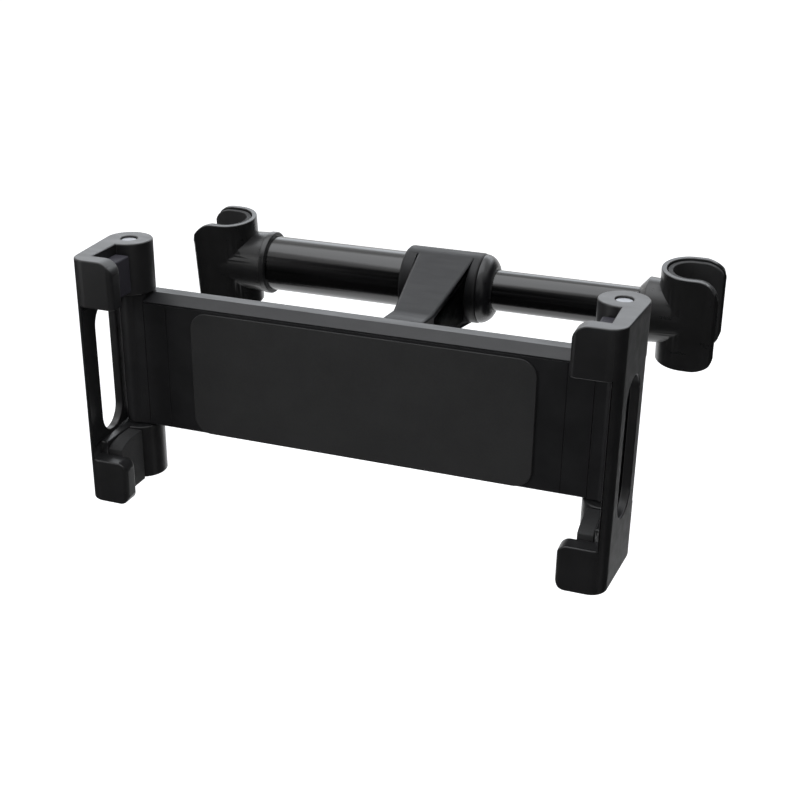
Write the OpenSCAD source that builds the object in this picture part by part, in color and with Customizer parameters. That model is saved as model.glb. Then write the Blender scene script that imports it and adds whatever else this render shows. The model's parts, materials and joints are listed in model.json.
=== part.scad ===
// Headrest tablet mount: a telescopic bar clips between two headrest posts, and an arm with a ball joint
// carries a clamp whose two folding jaws open together on a rack and pinion.
// The origin is on the left post's axis at the height of the bar. +X runs along the bar, +Z is up.

/* [Headrest posts and bar] */
// Distance between the post axes with the bar fully extended
post_gap = 168; // [160:1:180]
// Radius of the post that a clip's liner grips
post_r = 6.2; // [5.6:0.1:6.4]
// Thickness of the rubber liner in a clip
liner_t = 1.7; // [1.4:0.1:2.2]
// Wall of a clip
clip_wall = 1.8; // [1.5:0.1:2.4]
// Height of a clip
clip_h = 33; // [28:1:40]
// How far the liner stays back from the clip's top and bottom
liner_inset = 0.6; // [0.4:0.1:3]
// Straight length of a clip's wings before they flare
wing_len = 5.2; // [3:0.1:6]
// Angle through which the wings flare
wing_flare = 40; // [20:1:45]
// Outer radius of the outer tube
tube_r = 9.8; // [9.6:0.1:10.2]
// Wall of the outer tube
tube_wall = 1.5; // [1:0.1:1.7]
// Outer radius of the sliding tube
slide_r = 7.1; // [6.6:0.1:7.2]
// Wall of the sliding tube
slide_wall = 1.2; // [0.8:0.1:1.4]
// How far the bar can be pressed together
bar_travel = 46; // [30:1:47]

/* [Arm and ball joint] */
// Distance from the left post to the arm's middle
arm_x = 84; // [80:1:88]
// Width of the arm's sleeve along the bar
sleeve_w = 28; // [24:1:32]
// Wall of the arm's sleeve around the outer tube
sleeve_wall = 2.45; // [2:0.05:3.5]
// Distance from the bar's axis forward to the middle of the ball
ball_out = 64; // [60:1:74]
// How far the ball sits below the bar's axis
ball_drop = 2; // [0:0.5:4]
// Radius of the ball
ball_r = 8; // [7.6:0.1:8.4]
// Downward slope of the arm's top, in degrees
arm_slope = 8.5; // [8:0.1:12]
// Width of the arm where it is narrowest
arm_waist_w = 14; // [11:0.1:18]
// Thickness of the web between the arm's side pockets
arm_web = 3; // [2:0.5:6]
// Wall of the ball's socket outside the pressure cup
socket_wall = 1.75; // [1.5:0.05:2.2]
// Wall of the lock nut
nut_wall = 2.3; // [2:0.1:3]
// Backward tilt of the clamp as it is shown, in degrees
rest_tilt = 7.5; // [0:0.5:15]

/* [Clamp housing] */
// Distance between the jaw pins with the clamp closed
pin_gap = 152; // [148:1:164]
// Width of the housing
housing_w = 141; // [137:1:143]
// Height of the housing
housing_h = 43.3; // [42:0.1:48]
// Height of the housing's middle above the middle of the jaws
housing_rise = 0.75; // [0:0.05:1]
// Wall of the housing
housing_wall = 1.8; // [1.4:0.1:2.2]
// Width of the rubber pad on the front
pad_w = 108.6; // [90:0.1:112]
// Height of the rubber pad on the front
pad_h = 39.8; // [34:0.1:40]
// How far the pad stands out
pad_t = 0.6; // [0.4:0.1:0.7]
// How far each jaw slides out
jaw_travel = 37; // [25:1:38]

/* [Rack and pinion] */
// Teeth on the pinion
pinion_teeth = 14; // [14:2:16]
// Module of the teeth
gear_module = 1; // [0.9:0.05:1]
// Play between the teeth
backlash = 0.15; // [0.1:0.05:0.3]
// Thickness of a slider's plate
slider_t = 2.2; // [1.8:0.1:2.3]
// Outer radius of a clamp spring
spring_r = 1.6; // [1.2:0.1:1.7]

/* [Jaws] */
// Height of a jaw
jaw_h = 78; // [74:1:90]
// Depth of a jaw from its pin to its front face
jaw_depth = 25.4; // [24:0.1:34]
// Radius of a jaw's hinge boss
boss_r = 7.2; // [6.8:0.1:8]
// Radius of a jaw pin
pin_r = 2.45; // [2:0.05:2.6]
// Radius of a slider's knuckle
knuckle_r = 4.3; // [4:0.1:4.4]
// Thickness of a jaw's side wall
jaw_wall = 2.6; // [2:0.1:3]
// Inward lean of a jaw's side wall towards the front, in degrees
jaw_splay = 5; // [0:0.5:6]
// Thickness of a jaw's lips
lip_t = 5.4; // [4:0.1:8]
// How far a lip reaches inward of the pin
lip_reach = 8.7; // [6:0.1:12]
// Height of the upper lip
upper_lip_h = 14.5; // [10:0.5:15]
// Height of the lower lip
lower_lip_h = 14; // [10:0.5:15]
// How far the jaw's rubber blocks reach inward of the pin
block_reach = 4.3; // [3:0.1:6]
// Length of the finger slot in a jaw's wall, end to end
slot_len = 42; // [30:1:43]
// Width of the finger slot
slot_w = 12.7; // [8:0.1:13]

/* [Hidden] */

$fn = 64;

// Colours
matte_black = "#1b1b1d";
gloss_black = "#101012";
rubber_grey = "#2b2b2d";
steel_grey = "#9a9ca0";
zinc_grey = "#b8bac0";

// Clearances
fit_gap = 0.05;
part_gap = 0.3;
seat_gap = 0.1;
over = 1;

// Clip
liner_gap = 0.3;
clip_in_r = post_r + liner_t + liner_gap;
clip_r = clip_in_r + clip_wall;
flare_r = 6;
wing_corner_r = 7.5;
liner_flare = 0.7 * wing_flare;
neck_r = clip_r + 1;
neck_root_r = clip_r - 0.05;
neck_root = wing_len - 0.3;

// Outer tube, its end ring on the left clip and the spigot in the tube
tube_in_r = tube_r - tube_wall;
sleeve_shift = 0.8;
tube_x0 = clip_r + 7.3;
tube_x1 = arm_x + sleeve_w / 2 - sleeve_shift;
ring_r = neck_r + 0.3;
ring_w = 2.4;
ring_chamfer = 0.5;
spigot_len = 10;

// The sliding tube's inner end: the clip's spigot is where the bar stops when it is pressed together
stop_gap = 1.7;
collar_w = 2.7;
slide_x0 = tube_x0 + spigot_len + stop_gap + bar_travel;

// Guide bush in the right end of the outer tube, which stops the collar when the bar is pulled out
collar_inset = 0.6;
bush_len = tube_x1 - slide_x0 - collar_inset - collar_w - part_gap;
bush_nose = 4.4;
bush_r = tube_in_r - fit_gap;
bush_in_r = slide_r + fit_gap;
dome_r = 5;

// Sliding tube and the right clip's neck
slide_in_r = slide_r - slide_wall;
slide_x1 = post_gap - clip_r - 3.5;
cone_x0 = post_gap - clip_r - 6.6;
cone_w = 2.7;
cone_lip = 0.7;
plug_len = 12.5;
plug_x = slide_x1 - plug_len;

// Spring in the bar
bar_spring_r = slide_in_r - 0.5;
bar_wire_r = 0.5;
bar_turns = 16;

// Arm
sleeve_in_r = tube_r + fit_gap;
sleeve_r = tube_r + sleeve_wall + fit_gap;
sleeve_x0 = arm_x - sleeve_w / 2 - sleeve_shift;
arm_top_w = 20.6;
waist_y = -ball_out + 27;
waist_h = 12;
pocket_tops = [6.3, 4.2];
pocket_floors = [-6, -2.8];
socket_back = 16;

// Ball socket, measured from the ball's middle
shell_t = 0.85;
liner_in_r = ball_r + fit_gap;
liner_out_r = liner_in_r + shell_t;
cup_in_r = liner_out_r + fit_gap;
cup_out_r = cup_in_r + shell_t;
cavity_r = cup_out_r + fit_gap;
socket_r = cavity_r + socket_wall;
cap_angle = 45;
cavity_front = 3;
collet_front = 3.2;
stem_r = 4;
stem_len = 12;

// Lock nut
nut_in_r = socket_r + part_gap;
nut_r = nut_in_r + nut_wall;
nut_front = 6.5;
nut_back = 10;
nut_mouth_r = 7.9;

// Clamp frame: the origin is midway between the jaw pins, at the middle of the jaws
pin_x = pin_gap / 2;
stud_y = 21;
stud_z = -2.5;
z_mid = housing_rise;
z_top = z_mid + housing_h / 2;
z_bottom = z_mid - housing_h / 2;
front_y = -3.6;
bevel_y = 1;
bevel_drop = 1.9;
seam_y = 5;
back_y = stud_y - stem_len;
inner_front_y = -2.4;
guide_y = 3.3;
groove_inset = 7.7;
groove_w = 0.3;
groove_d = 0.2;
edge_break = 0.4;
lip_step = 0.2;
back_slope_h = 3.5;
back_slope_w = 3;

// Flange of the ball stud and the screws that hold it
flange_r = 8;
flange_t = 1.8;
stud_screw_ring = 6;
stud_screw_r = 0.8;
stud_head_r = 1.4;
stud_head_t = 0.9;

// Rack and pinion
pitch_r = gear_module * pinion_teeth / 2;
addendum = 0.8 * gear_module;
dedendum = 1.1 * gear_module;
pressure_angle = 20;
base_r = pitch_r * cos(pressure_angle);
tooth_pitch = PI * gear_module;
tooth_half = (tooth_pitch / 2 - backlash) / 2;
tip_clear = 0.6;
window_half_h = pitch_r + addendum + tip_clear;
plate_min_half_h = 11;
plate_rim = 2.5;
plate_tail = 6.4;
window_play = 0.2;
plate_half_h = max(plate_min_half_h, pitch_r + dedendum + plate_rim);
window_end = pitch_r + addendum + tip_clear + window_play;
plate_end = jaw_travel + window_end + plate_tail;
left_layer = -1.9;
right_layer = 0.8;
axle_r = 1.5;

// Clamp springs
clamp_spring_z = 14;
clamp_spring_y = 5.1;
tab_x = 17;
tab_w = 3;
channel_half = spring_r + 0.6;
channel_far = tab_x + tab_w + jaw_travel + 3;
anchor_x = 50;
clamp_wire_r = 0.3;
clamp_turns = 22;

// Housing screws
screw_x = housing_w / 2 - 8.5;
screw_z = 16;
screw_boss_r = 2.6;
screw_r = 1.1;
screw_head_r = 2.2;
screw_head_t = 1.4;
screw_tip_gap = 0.4;
screw_seat_y = seam_y + 1.2;

// Jaw
jaw_top = jaw_h / 2;
hook_top_z = z_top + 0.4;
hook_bottom_z = z_bottom - 0.3;
outer_x = boss_r / cos(jaw_splay);
corner_r = 5;
corner_x = outer_x - corner_r / cos(jaw_splay) - (jaw_depth - corner_r) * tan(jaw_splay);
lip_back_y = -jaw_depth + lip_t;
seat_x = 0.5;
wall_start_y = 0.2;
wall_t = min(jaw_wall, boss_r - knuckle_r - part_gap);
slot_mid_y = -10.65;
pin_recess = 0.5;

// Rubber blocks in the hooks
block_y0 = lip_back_y + seat_gap;
block_y1 = -boss_r - part_gap;
lower_block_rise = 0.3;
lower_block_flat_y = -12;
lower_block_fall = 3.5;
lower_block_sink = 0.3;
upper_block_drop = 3;

// Axis helpers

module along_x(x0, x1) {
    translate([x0, 0, 0])
        rotate([90, 0, 90])
            linear_extrude(x1 - x0)
                children();
}

module along_y(y0, y1) {
    translate([0, y1, 0])
        rotate([90, 0, 0])
            linear_extrude(y1 - y0)
                children();
}

module along_z(z0, z1) {
    translate([0, 0, z0])
        linear_extrude(z1 - z0)
            children();
}

module rod_x(r, x0, x1) {
    translate([x0, 0, 0])
        rotate([0, 90, 0])
            cylinder(r = r, h = x1 - x0);
}

module rod_y(r, y0, y1) {
    translate([0, y0, 0])
        rotate([-90, 0, 0])
            cylinder(r = r, h = y1 - y0);
}

module rod_z(r, z0, z1) {
    translate([0, 0, z0])
        cylinder(r = r, h = z1 - z0);
}

// Turns a profile of radius and length about the X axis
module spin_x() {
    rotate([0, 90, 0])
        rotate_extrude()
            children();
}

// Turns a profile of radius and length about the Y axis
module spin_y() {
    rotate([-90, 0, 0])
        rotate_extrude()
            children();
}

// The waste outside a rounded corner whose tip is at the origin and whose sides run along sx and sy
module corner_waste(r, sx, sy) {
    difference() {
        translate([min(0, sx * r) - (sx > 0 ? over : 0), min(0, sy * r) - (sy > 0 ? over : 0)])
            square(r + over);
        translate([sx * r, sy * r])
            circle(r);
    }
}

// Rectangle from lo to hi with its own radius at each corner, from the lower left anticlockwise
module round_rect(lo, hi, radii) {
    difference() {
        translate(lo)
            square(hi - lo);
        if (radii[0] > 0)
            translate(lo)
                corner_waste(radii[0], 1, 1);
        if (radii[1] > 0)
            translate([hi[0], lo[1]])
                corner_waste(radii[1], -1, 1);
        if (radii[2] > 0)
            translate(hi)
                corner_waste(radii[2], -1, -1);
        if (radii[3] > 0)
            translate([lo[0], hi[1]])
                corner_waste(radii[3], 1, -1);
    }
}

// A coil along X: each ring of the wire lies in the plane through the coil's axis
module coil(x0, x1, r, wire_r, turns, steps = 10, sides = 5) {
    count = turns * steps;
    length = x1 - x0 - 2 * wire_r;
    rings = [
        for (i = [0:count]) [
            for (k = [0:sides - 1])
                let (turn = 360 * i / steps, around = 360 * k / sides, out = r + wire_r * sin(around))
                    [x0 + wire_r + length * i / count + wire_r * cos(around), out * cos(turn), out * sin(turn)]
        ]
    ];
    points = [for (ring = rings) each ring];
    walls = [
        for (i = [0:count - 1])
            for (k = [0:sides - 1])
                let (a = i * sides + k, b = i * sides + (k + 1) % sides)
                    [a, a + sides, b + sides, b]
    ];
    first = [for (k = [0:sides - 1]) k];
    last = [for (k = [sides - 1:-1:0]) count * sides + k];
    polyhedron(points, concat(walls, [first], [last]), convexity = 10);
}

// Headrest clips

// Half of an open C: a half ring and one wing that flares away from the middle, opening towards -X
module wing_outline(r_in, r_out, flare) {
    difference() {
        intersection() {
            circle(r_out);
            translate([0, -r_out - over])
                square([r_out + over, r_out + over]);
        }
        circle(r_in);
    }
    translate([-wing_len, -r_out])
        square([wing_len + fit_gap, r_out - r_in]);
    centre_y = -clip_r - flare_r;
    translate([-wing_len, centre_y])
        intersection() {
            difference() {
                circle(-centre_y - r_in);
                circle(-centre_y - r_out);
            }
            polygon([
                [fit_gap, 0],
                [fit_gap, 2 * clip_r + flare_r],
                [-2 * clip_r * tan(flare), 2 * clip_r]
            ]);
        }
}

module c_outline(r_in, r_out, flare) {
    wing_outline(r_in, r_out, flare);
    mirror([0, 1])
        wing_outline(r_in, r_out, flare);
}

// Side view that rounds the corners of the wings
module clip_side(h, r) {
    reach = 2 * clip_r;
    tip = wing_len + (flare_r + clip_wall) * sin(wing_flare);
    along_y(-reach, reach)
        round_rect([-tip, -h / 2], [reach, h / 2], [r, 0, 0, r]);
}

module clip_shell() {
    intersection() {
        along_z(-clip_h / 2, clip_h / 2)
            c_outline(clip_in_r, clip_r, wing_flare);
        clip_side(clip_h, wing_corner_r);
    }
}

module clip_liner() {
    inset_h = clip_h - 2 * liner_inset;
    intersection() {
        along_z(-inset_h / 2, inset_h / 2)
            c_outline(post_r, post_r + liner_t, liner_flare);
        clip_side(inset_h, wing_corner_r - liner_inset / 2);
    }
    // Stud that holds the liner in the clip's back
    intersection() {
        rod_x(2, post_r + liner_t / 2, clip_in_r - fit_gap);
        rod_z(clip_in_r - fit_gap, -clip_h / 4, clip_h / 4);
    }
}

// The room inside a clip, kept free of its neck
module clip_room() {
    rod_z(clip_in_r, -clip_h, clip_h);
    translate([-2 * clip_r, -clip_in_r, -clip_h])
        cube([2 * clip_r, 2 * clip_in_r, 2 * clip_h]);
}

module left_clip() {
    color(matte_black) {
        difference() {
            union() {
                clip_shell();
                // A tapered neck that runs into the wings, and the ring at the tube's end
                spin_x()
                    polygon([
                        [0, -neck_root],
                        [neck_root_r, -neck_root],
                        [neck_r, tube_x0 - ring_w],
                        [ring_r, tube_x0 - ring_w],
                        [ring_r, tube_x0 - ring_chamfer],
                        [ring_r - ring_chamfer, tube_x0],
                        [0, tube_x0]
                    ]);
                rod_x(tube_in_r - fit_gap, 0, tube_x0 + spigot_len);
            }
            clip_room();
        }
    }
}

module left_clip_liner() {
    color(rubber_grey)
        clip_liner();
}

// The right clip faces the other way, with a cone that swallows the end of the sliding tube
module right_clip() {
    color(matte_black) {
        difference() {
            union() {
                translate([post_gap, 0, 0])
                    mirror([1, 0, 0])
                        clip_shell();
                spin_x()
                    polygon([
                        [0, cone_x0],
                        [slide_r + cone_lip, cone_x0],
                        [neck_r, cone_x0 + cone_w],
                        [neck_root_r, post_gap + neck_root],
                        [0, post_gap + neck_root]
                    ]);
            }
            translate([post_gap, 0, 0])
                mirror([1, 0, 0])
                    clip_room();
            rod_x(slide_r + fit_gap, cone_x0 - over, slide_x1);
        }
        rod_x(slide_in_r - fit_gap, plug_x, slide_x1 + fit_gap);
    }
}

module right_clip_liner() {
    color(rubber_grey)
        translate([post_gap, 0, 0])
            mirror([1, 0, 0])
                clip_liner();
}

// Tubes

module outer_tube() {
    color(gloss_black)
        difference() {
            rod_x(tube_r, tube_x0, tube_x1);
            rod_x(tube_in_r, tube_x0 - over, tube_x1 + over);
            translate([arm_x, 0, 0])
                rod_z(screw_r + fit_gap, -2 * tube_r, 0);
        }
}

module inner_tube() {
    color(gloss_black)
        difference() {
            rod_x(slide_r, slide_x0, slide_x1);
            rod_x(slide_in_r, slide_x0 - over, slide_x1 + over);
        }
}

module slide_collar() {
    color(matte_black)
        difference() {
            rod_x(tube_in_r - fit_gap, slide_x0 + collar_inset, slide_x0 + collar_inset + collar_w);
            rod_x(slide_r + fit_gap / 2, slide_x0 - over, slide_x0 + 2 * collar_w);
        }
}

module guide_bush() {
    color(matte_black)
        difference() {
            spin_x() {
                translate([0, tube_x1 - bush_len])
                    square([bush_r, bush_len + seat_gap]);
                // The domed nose is an arc that ends just outside the sliding tube
                translate([0, tube_x1])
                    intersection() {
                        square([sleeve_r - 0.3, bush_nose]);
                        translate([slide_r, bush_nose - dome_r])
                            circle(dome_r);
                    }
                translate([0, tube_x1])
                    square([slide_r + 0.7, bush_nose]);
            }
            rod_x(bush_in_r, tube_x1 - bush_len - over, tube_x1 + 2 * bush_nose);
        }
}

module bar_spring() {
    color(steel_grey)
        coil(tube_x0 + spigot_len, plug_x, bar_spring_r - bar_wire_r, bar_wire_r, bar_turns, 12, 6);
}

// Arm

// Side view of the arm's beam, from the sleeve to the back of the socket
module arm_side() {
    top_y = -sleeve_r * sin(arm_slope);
    top_z = sleeve_r * cos(arm_slope);
    waist_z = top_z - (top_y - waist_y) * tan(arm_slope);
    back_y = -ball_out + socket_back;
    polygon([
        [0, 0],
        [top_y, top_z],
        [waist_y, waist_z],
        [back_y + 2, socket_r - ball_drop - 0.8],
        [back_y - 1, socket_r - ball_drop - 0.8],
        [back_y - 1, -socket_r - ball_drop + 0.8],
        [back_y + 2, -socket_r - ball_drop + 0.8],
        [waist_y, waist_z - waist_h],
        [-12.7, -sleeve_r + 3.2],
        [-4.2, -sleeve_r + 0.75]
    ]);
}

// Plan of the beam: a taper to the waist, which runs on into the round socket
module arm_plan() {
    back_y = -ball_out + socket_back;
    half_top = arm_top_w / 2;
    half_waist = arm_waist_w / 2;
    translate([arm_x, 0])
        polygon([
            [half_top, 0],
            [half_top, -3],
            [half_waist, waist_y],
            [half_waist, back_y - 1],
            [-half_waist, back_y - 1],
            [-half_waist, waist_y],
            [-half_top, -3],
            [-half_top, 0]
        ]);
}

// Side pocket that leaves a web and a flange at the top and bottom
module arm_pocket() {
    polygon([
        [-sleeve_r - 0.6, pocket_tops[0]],
        [waist_y + 1, pocket_tops[1]],
        [waist_y + 1, pocket_floors[1]],
        [-sleeve_r - 0.9, pocket_floors[0]]
    ]);
}

// Room for the ball at the front and for the liner and cup behind it
module socket_room() {
    spin_y()
        intersection() {
            circle(liner_in_r);
            translate([0, -2 * ball_r])
                square([2 * ball_r, 2 * ball_r + cavity_front + fit_gap]);
        }
    spin_y()
        intersection() {
            circle(cavity_r);
            translate([0, cavity_front])
                square([2 * cavity_r, 2 * cavity_r]);
        }
}

module arm() {
    color(matte_black)
        difference() {
            union() {
                rod_x(sleeve_r, sleeve_x0, tube_x1);
                intersection() {
                    along_x(arm_x - 2 * sleeve_w, arm_x + 2 * sleeve_w)
                        arm_side();
                    along_z(-2 * sleeve_r, 2 * sleeve_r)
                        arm_plan();
                }
                translate([arm_x, -ball_out, -ball_drop])
                    spin_y()
                        polygon([
                            [0, -collet_front],
                            [liner_in_r + 1, -collet_front],
                            [socket_r, -1.2],
                            [socket_r, socket_back],
                            [0, socket_back]
                        ]);
            }
            rod_x(sleeve_in_r, sleeve_x0 - over, tube_x1 + over);
            translate([arm_x, -ball_out, -ball_drop]) {
                socket_room();
                for (a = [0:60:300])
                    rotate([0, a, 0])
                        translate([-0.6, -2 * collet_front, 0])
                            cube([1.2, 2 * collet_front + 6, 2 * socket_r]);
            }
            for (s = [-1, 1])
                along_x(arm_x + (s < 0 ? -sleeve_w : arm_web / 2), arm_x + (s < 0 ? -arm_web / 2 : sleeve_w))
                    arm_pocket();
            translate([arm_x, 0, 0]) {
                rod_z(screw_r + fit_gap, -2 * sleeve_r, 0);
                rod_z(screw_head_r + fit_gap, -2 * sleeve_r, -sleeve_r + 1.3);
            }
        }
}

module saddle_screw() {
    color(steel_grey)
        translate([arm_x, 0, 0]) {
            rod_z(screw_head_r, -sleeve_r + 0.2, -sleeve_r + 1.3);
            rod_z(screw_r, -sleeve_r + 0.2, -bush_r - seat_gap);
        }
}

// Nut that squeezes the socket's fingers on the ball
module lock_nut() {
    grips = 14;
    color(matte_black)
        translate([arm_x, -ball_out, -ball_drop])
            difference() {
                spin_y()
                    polygon([
                        [nut_in_r, nut_back],
                        [nut_r - 1, nut_back],
                        [nut_r, nut_back - 1],
                        [nut_r, -nut_front + 1],
                        [nut_r - 1, -nut_front],
                        [nut_mouth_r, -nut_front],
                        [nut_mouth_r - 0.4, -collet_front - 0.4],
                        [liner_in_r + 1.3, -collet_front - 0.4],
                        [nut_in_r, -1.3]
                    ]);
                for (i = [0:grips - 1])
                    rotate([0, 360 * i / grips, 0])
                        translate([nut_r + 0.9, 0, 0])
                            rod_y(1.6, -nut_front - over, nut_back + over);
            }
}

// Clamp frame

module in_clamp() {
    translate([arm_x, -ball_out, -ball_drop])
        rotate([-rest_tilt, 0, 0])
            translate([0, -stud_y, -stud_z])
                children();
}

// A thin cap behind the ball, between two radii
module ball_cap(r_in, r_out) {
    translate([0, stud_y, stud_z])
        spin_y()
            intersection() {
                difference() {
                    circle(r_out);
                    circle(r_in);
                }
                polygon([[0, 0], [2 * r_out * tan(cap_angle), 2 * r_out], [0, 2 * r_out]]);
            }
}

module pressure_cup() {
    color(zinc_grey)
        in_clamp()
            ball_cap(cup_in_r, cup_out_r);
}

module friction_liner() {
    color(rubber_grey)
        in_clamp()
            ball_cap(liner_in_r, liner_out_r);
}

// Places of the screws in the stud's flange
module at_stud_screws() {
    for (a = [45:90:315])
        translate([stud_screw_ring * cos(a), 0, stud_z + stud_screw_ring * sin(a)])
            children();
}

module ball_stud() {
    color(matte_black)
        in_clamp()
            difference() {
                translate([0, stud_y, stud_z]) {
                    sphere(ball_r);
                    rod_y(stem_r, -stem_len, 0);
                    rod_y(flange_r, -stem_len - flange_t, -stem_len);
                }
                at_stud_screws() {
                    rod_y(stud_screw_r + fit_gap, back_y - 2 * flange_t, back_y + over);
                    rod_y(stud_head_r + fit_gap, back_y - stud_head_t, back_y + over);
                }
            }
}

module stud_screws() {
    color(steel_grey)
        in_clamp()
            at_stud_screws() {
                rod_y(stud_head_r, back_y - stud_head_t, back_y - seat_gap);
                rod_y(stud_screw_r, guide_y + 1, back_y - seat_gap);
            }
}

// Housing

module at_housing_screws() {
    for (x = [-screw_x, screw_x])
        for (z = [-screw_z, screw_z])
            translate([x, 0, z_mid + z])
                children();
}

module front_cover() {
    half_w = housing_w / 2;
    inner_w = half_w - housing_wall;
    inner_h = housing_h / 2 - housing_wall;
    color(matte_black)
        in_clamp()
            difference() {
                union() {
                    difference() {
                        along_x(-half_w, half_w)
                            polygon([
                                [front_y, z_bottom + edge_break],
                                [front_y + edge_break, z_bottom],
                                [seam_y, z_bottom],
                                [seam_y, z_top],
                                [bevel_y, z_top],
                                [front_y, z_top - bevel_drop],
                                [front_y, z_top - bevel_drop - lip_step],
                                [front_y + edge_break, z_top - bevel_drop - lip_step],
                                [front_y + edge_break, z_top - bevel_drop - lip_step - edge_break],
                                [front_y, z_top - bevel_drop - lip_step - edge_break]
                            ]);
                        along_y(inner_front_y, seam_y + over)
                            round_rect([-inner_w, z_mid - inner_h], [inner_w, z_mid + inner_h], [1, 1, 1, 1]);
                        along_y(inner_front_y, guide_y + seat_gap)
                            translate([-2 * half_w, z_mid - plate_half_h - part_gap])
                                square([4 * half_w, 2 * plate_half_h + 2 * part_gap]);
                    }
                    at_housing_screws()
                        rod_y(screw_boss_r, inner_front_y, guide_y);
                }
                at_housing_screws()
                    rod_y(screw_r + fit_gap, inner_front_y, seam_y);
                for (s = [-1, 1])
                    translate([s * (half_w - groove_inset) - groove_w / 2, front_y - over, z_bottom - over])
                        cube([groove_w, over + groove_d, housing_h - bevel_drop]);
            }
}

module front_pad() {
    top = z_top - bevel_drop - 1.3;
    corner = 5.5;
    color(rubber_grey)
        in_clamp()
            along_y(front_y - pad_t, front_y)
                round_rect([-pad_w / 2, top - pad_h], [pad_w / 2, top], [corner, corner, corner, corner]);
}

module back_cover() {
    half_w = housing_w / 2;
    plug_w = half_w - housing_wall - seat_gap;
    plug_h = housing_h / 2 - housing_wall - seat_gap;
    color(matte_black)
        in_clamp()
            difference() {
                union() {
                    intersection() {
                        along_x(-half_w, half_w)
                            polygon([
                                [seam_y, z_bottom],
                                [back_y, z_bottom + back_slope_h],
                                [back_y, z_top - back_slope_h],
                                [seam_y, z_top]
                            ]);
                        along_z(z_bottom - over, z_top + over)
                            polygon([
                                [-half_w, seam_y - over],
                                [half_w, seam_y - over],
                                [half_w, seam_y + 1],
                                [half_w - back_slope_w, back_y],
                                [-half_w + back_slope_w, back_y],
                                [-half_w, seam_y + 1]
                            ]);
                    }
                    along_y(guide_y, seam_y)
                        round_rect([-plug_w, z_mid - plug_h], [plug_w, z_mid + plug_h], [1, 1, 1, 1]);
                }
                for (s = [-1, 1])
                    translate([0, clamp_spring_y, z_mid + s * clamp_spring_z])
                        rotate([0, s > 0 ? 0 : 180, 0])
                            translate([-channel_far, -channel_half, -channel_half])
                                cube([channel_far + anchor_x, 2 * channel_half, 2 * channel_half]);
                translate([0, back_y - flange_t, stud_z])
                    rod_y(flange_r + seat_gap, 0, flange_t + over);
                at_stud_screws()
                    rod_y(stud_screw_r + fit_gap, guide_y + 1 - seat_gap, back_y);
                at_housing_screws() {
                    rod_y(screw_r + fit_gap, guide_y - over, back_y + over);
                    rod_y(screw_head_r + fit_gap, screw_seat_y, back_y + over);
                }
                translate([0, 0, z_mid])
                    rod_y(axle_r + fit_gap, guide_y - over, seam_y + 1);
            }
}

module housing_screws() {
    color(steel_grey)
        in_clamp()
            at_housing_screws() {
                rod_y(screw_head_r, screw_seat_y, screw_seat_y + screw_head_t);
                rod_y(screw_r, inner_front_y + screw_tip_gap, screw_seat_y + screw_head_t);
            }
}

module pinion_axle() {
    color(steel_grey)
        in_clamp()
            translate([0, 0, z_mid])
                rod_y(axle_r, inner_front_y, seam_y + 1);
}

// Rack and pinion

// Angle in degrees between the start of an involute and its point at radius r
function involute(r) =
    let (a = acos(base_r / r)) tan(a) * 180 / PI - a;

function flank_angle(r) =
    tooth_half / pitch_r * 180 / PI + involute(pitch_r) - involute(max(r, base_r));

// One flank of a tooth from its root to its tip, on the side given by s
function flank(s, radii) = [
    for (r = radii)
        let (a = 90 + s * flank_angle(r)) [r * cos(a), r * sin(a)]
];

module pinion_outline() {
    tip = pitch_r + addendum;
    steps = 5;
    up = [pitch_r - dedendum - 0.3, each [for (i = [0:steps]) base_r + (tip - base_r) * i / steps]];
    down = [for (i = [len(up) - 1:-1:0]) up[i]];
    circle(pitch_r - dedendum);
    for (i = [0:pinion_teeth - 1])
        rotate(360 * i / pinion_teeth)
            polygon(concat(flank(-1, up), flank(1, down)));
}

module pinion() {
    color(zinc_grey)
        in_clamp()
            translate([0, 0, z_mid])
                difference() {
                    along_y(left_layer, right_layer + slider_t)
                        pinion_outline();
                    rod_y(axle_r + fit_gap, -seam_y, seam_y);
                }
}

// Rack teeth that point up from a pitch line at height 0, with a gap at x = 0
module rack_teeth(x0, x1) {
    root_half = tooth_half + (dedendum + 0.1) * tan(pressure_angle);
    tip_half = tooth_half - addendum * tan(pressure_angle);
    first = ceil((x0 + root_half) / tooth_pitch - 0.5);
    last = floor((x1 - root_half) / tooth_pitch - 0.5);
    for (k = [first:last])
        translate([(k + 0.5) * tooth_pitch, 0])
            polygon([
                [-root_half, -dedendum - 0.1],
                [root_half, -dedendum - 0.1],
                [tip_half, addendum],
                [-tip_half, addendum]
            ]);
}

// A right-hand slider's plate seen from the front, about the pinion's middle: its rack is under the pinion
module slider_plate() {
    difference() {
        translate([-plate_end, -plate_half_h])
            square([plate_end + pin_x, 2 * plate_half_h]);
        translate([-jaw_travel - window_end, -pitch_r - dedendum])
            square([jaw_travel + 2 * window_end, pitch_r + dedendum + window_half_h]);
    }
    translate([0, -pitch_r])
        rack_teeth(-jaw_travel - window_end, window_end);
}

// Tab that reaches back to the spring, next to the plate's edge
module spring_tab(layer) {
    tab_z = -clamp_spring_z;
    tab_half = channel_half - 0.4;
    translate([tab_x, layer, tab_z - tab_half])
        cube([tab_w, slider_t, 2 * tab_half + clamp_spring_z - plate_half_h]);
    translate([tab_x, layer, tab_z - tab_half])
        cube([tab_w, clamp_spring_y + spring_r - layer, 2 * tab_half]);
}

// Head of a slider: the knuckle for the jaw's pin and a block that continues the housing
module slider_head() {
    neck = pin_x - housing_w / 2 - seat_gap;
    difference() {
        union() {
            rod_z(knuckle_r, z_bottom, z_top);
            translate([-neck, front_y, z_bottom])
                cube([neck, knuckle_r - front_y, housing_h]);
        }
        rod_z(pin_r + fit_gap / 2, z_bottom - over, z_top + over);
    }
}

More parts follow.
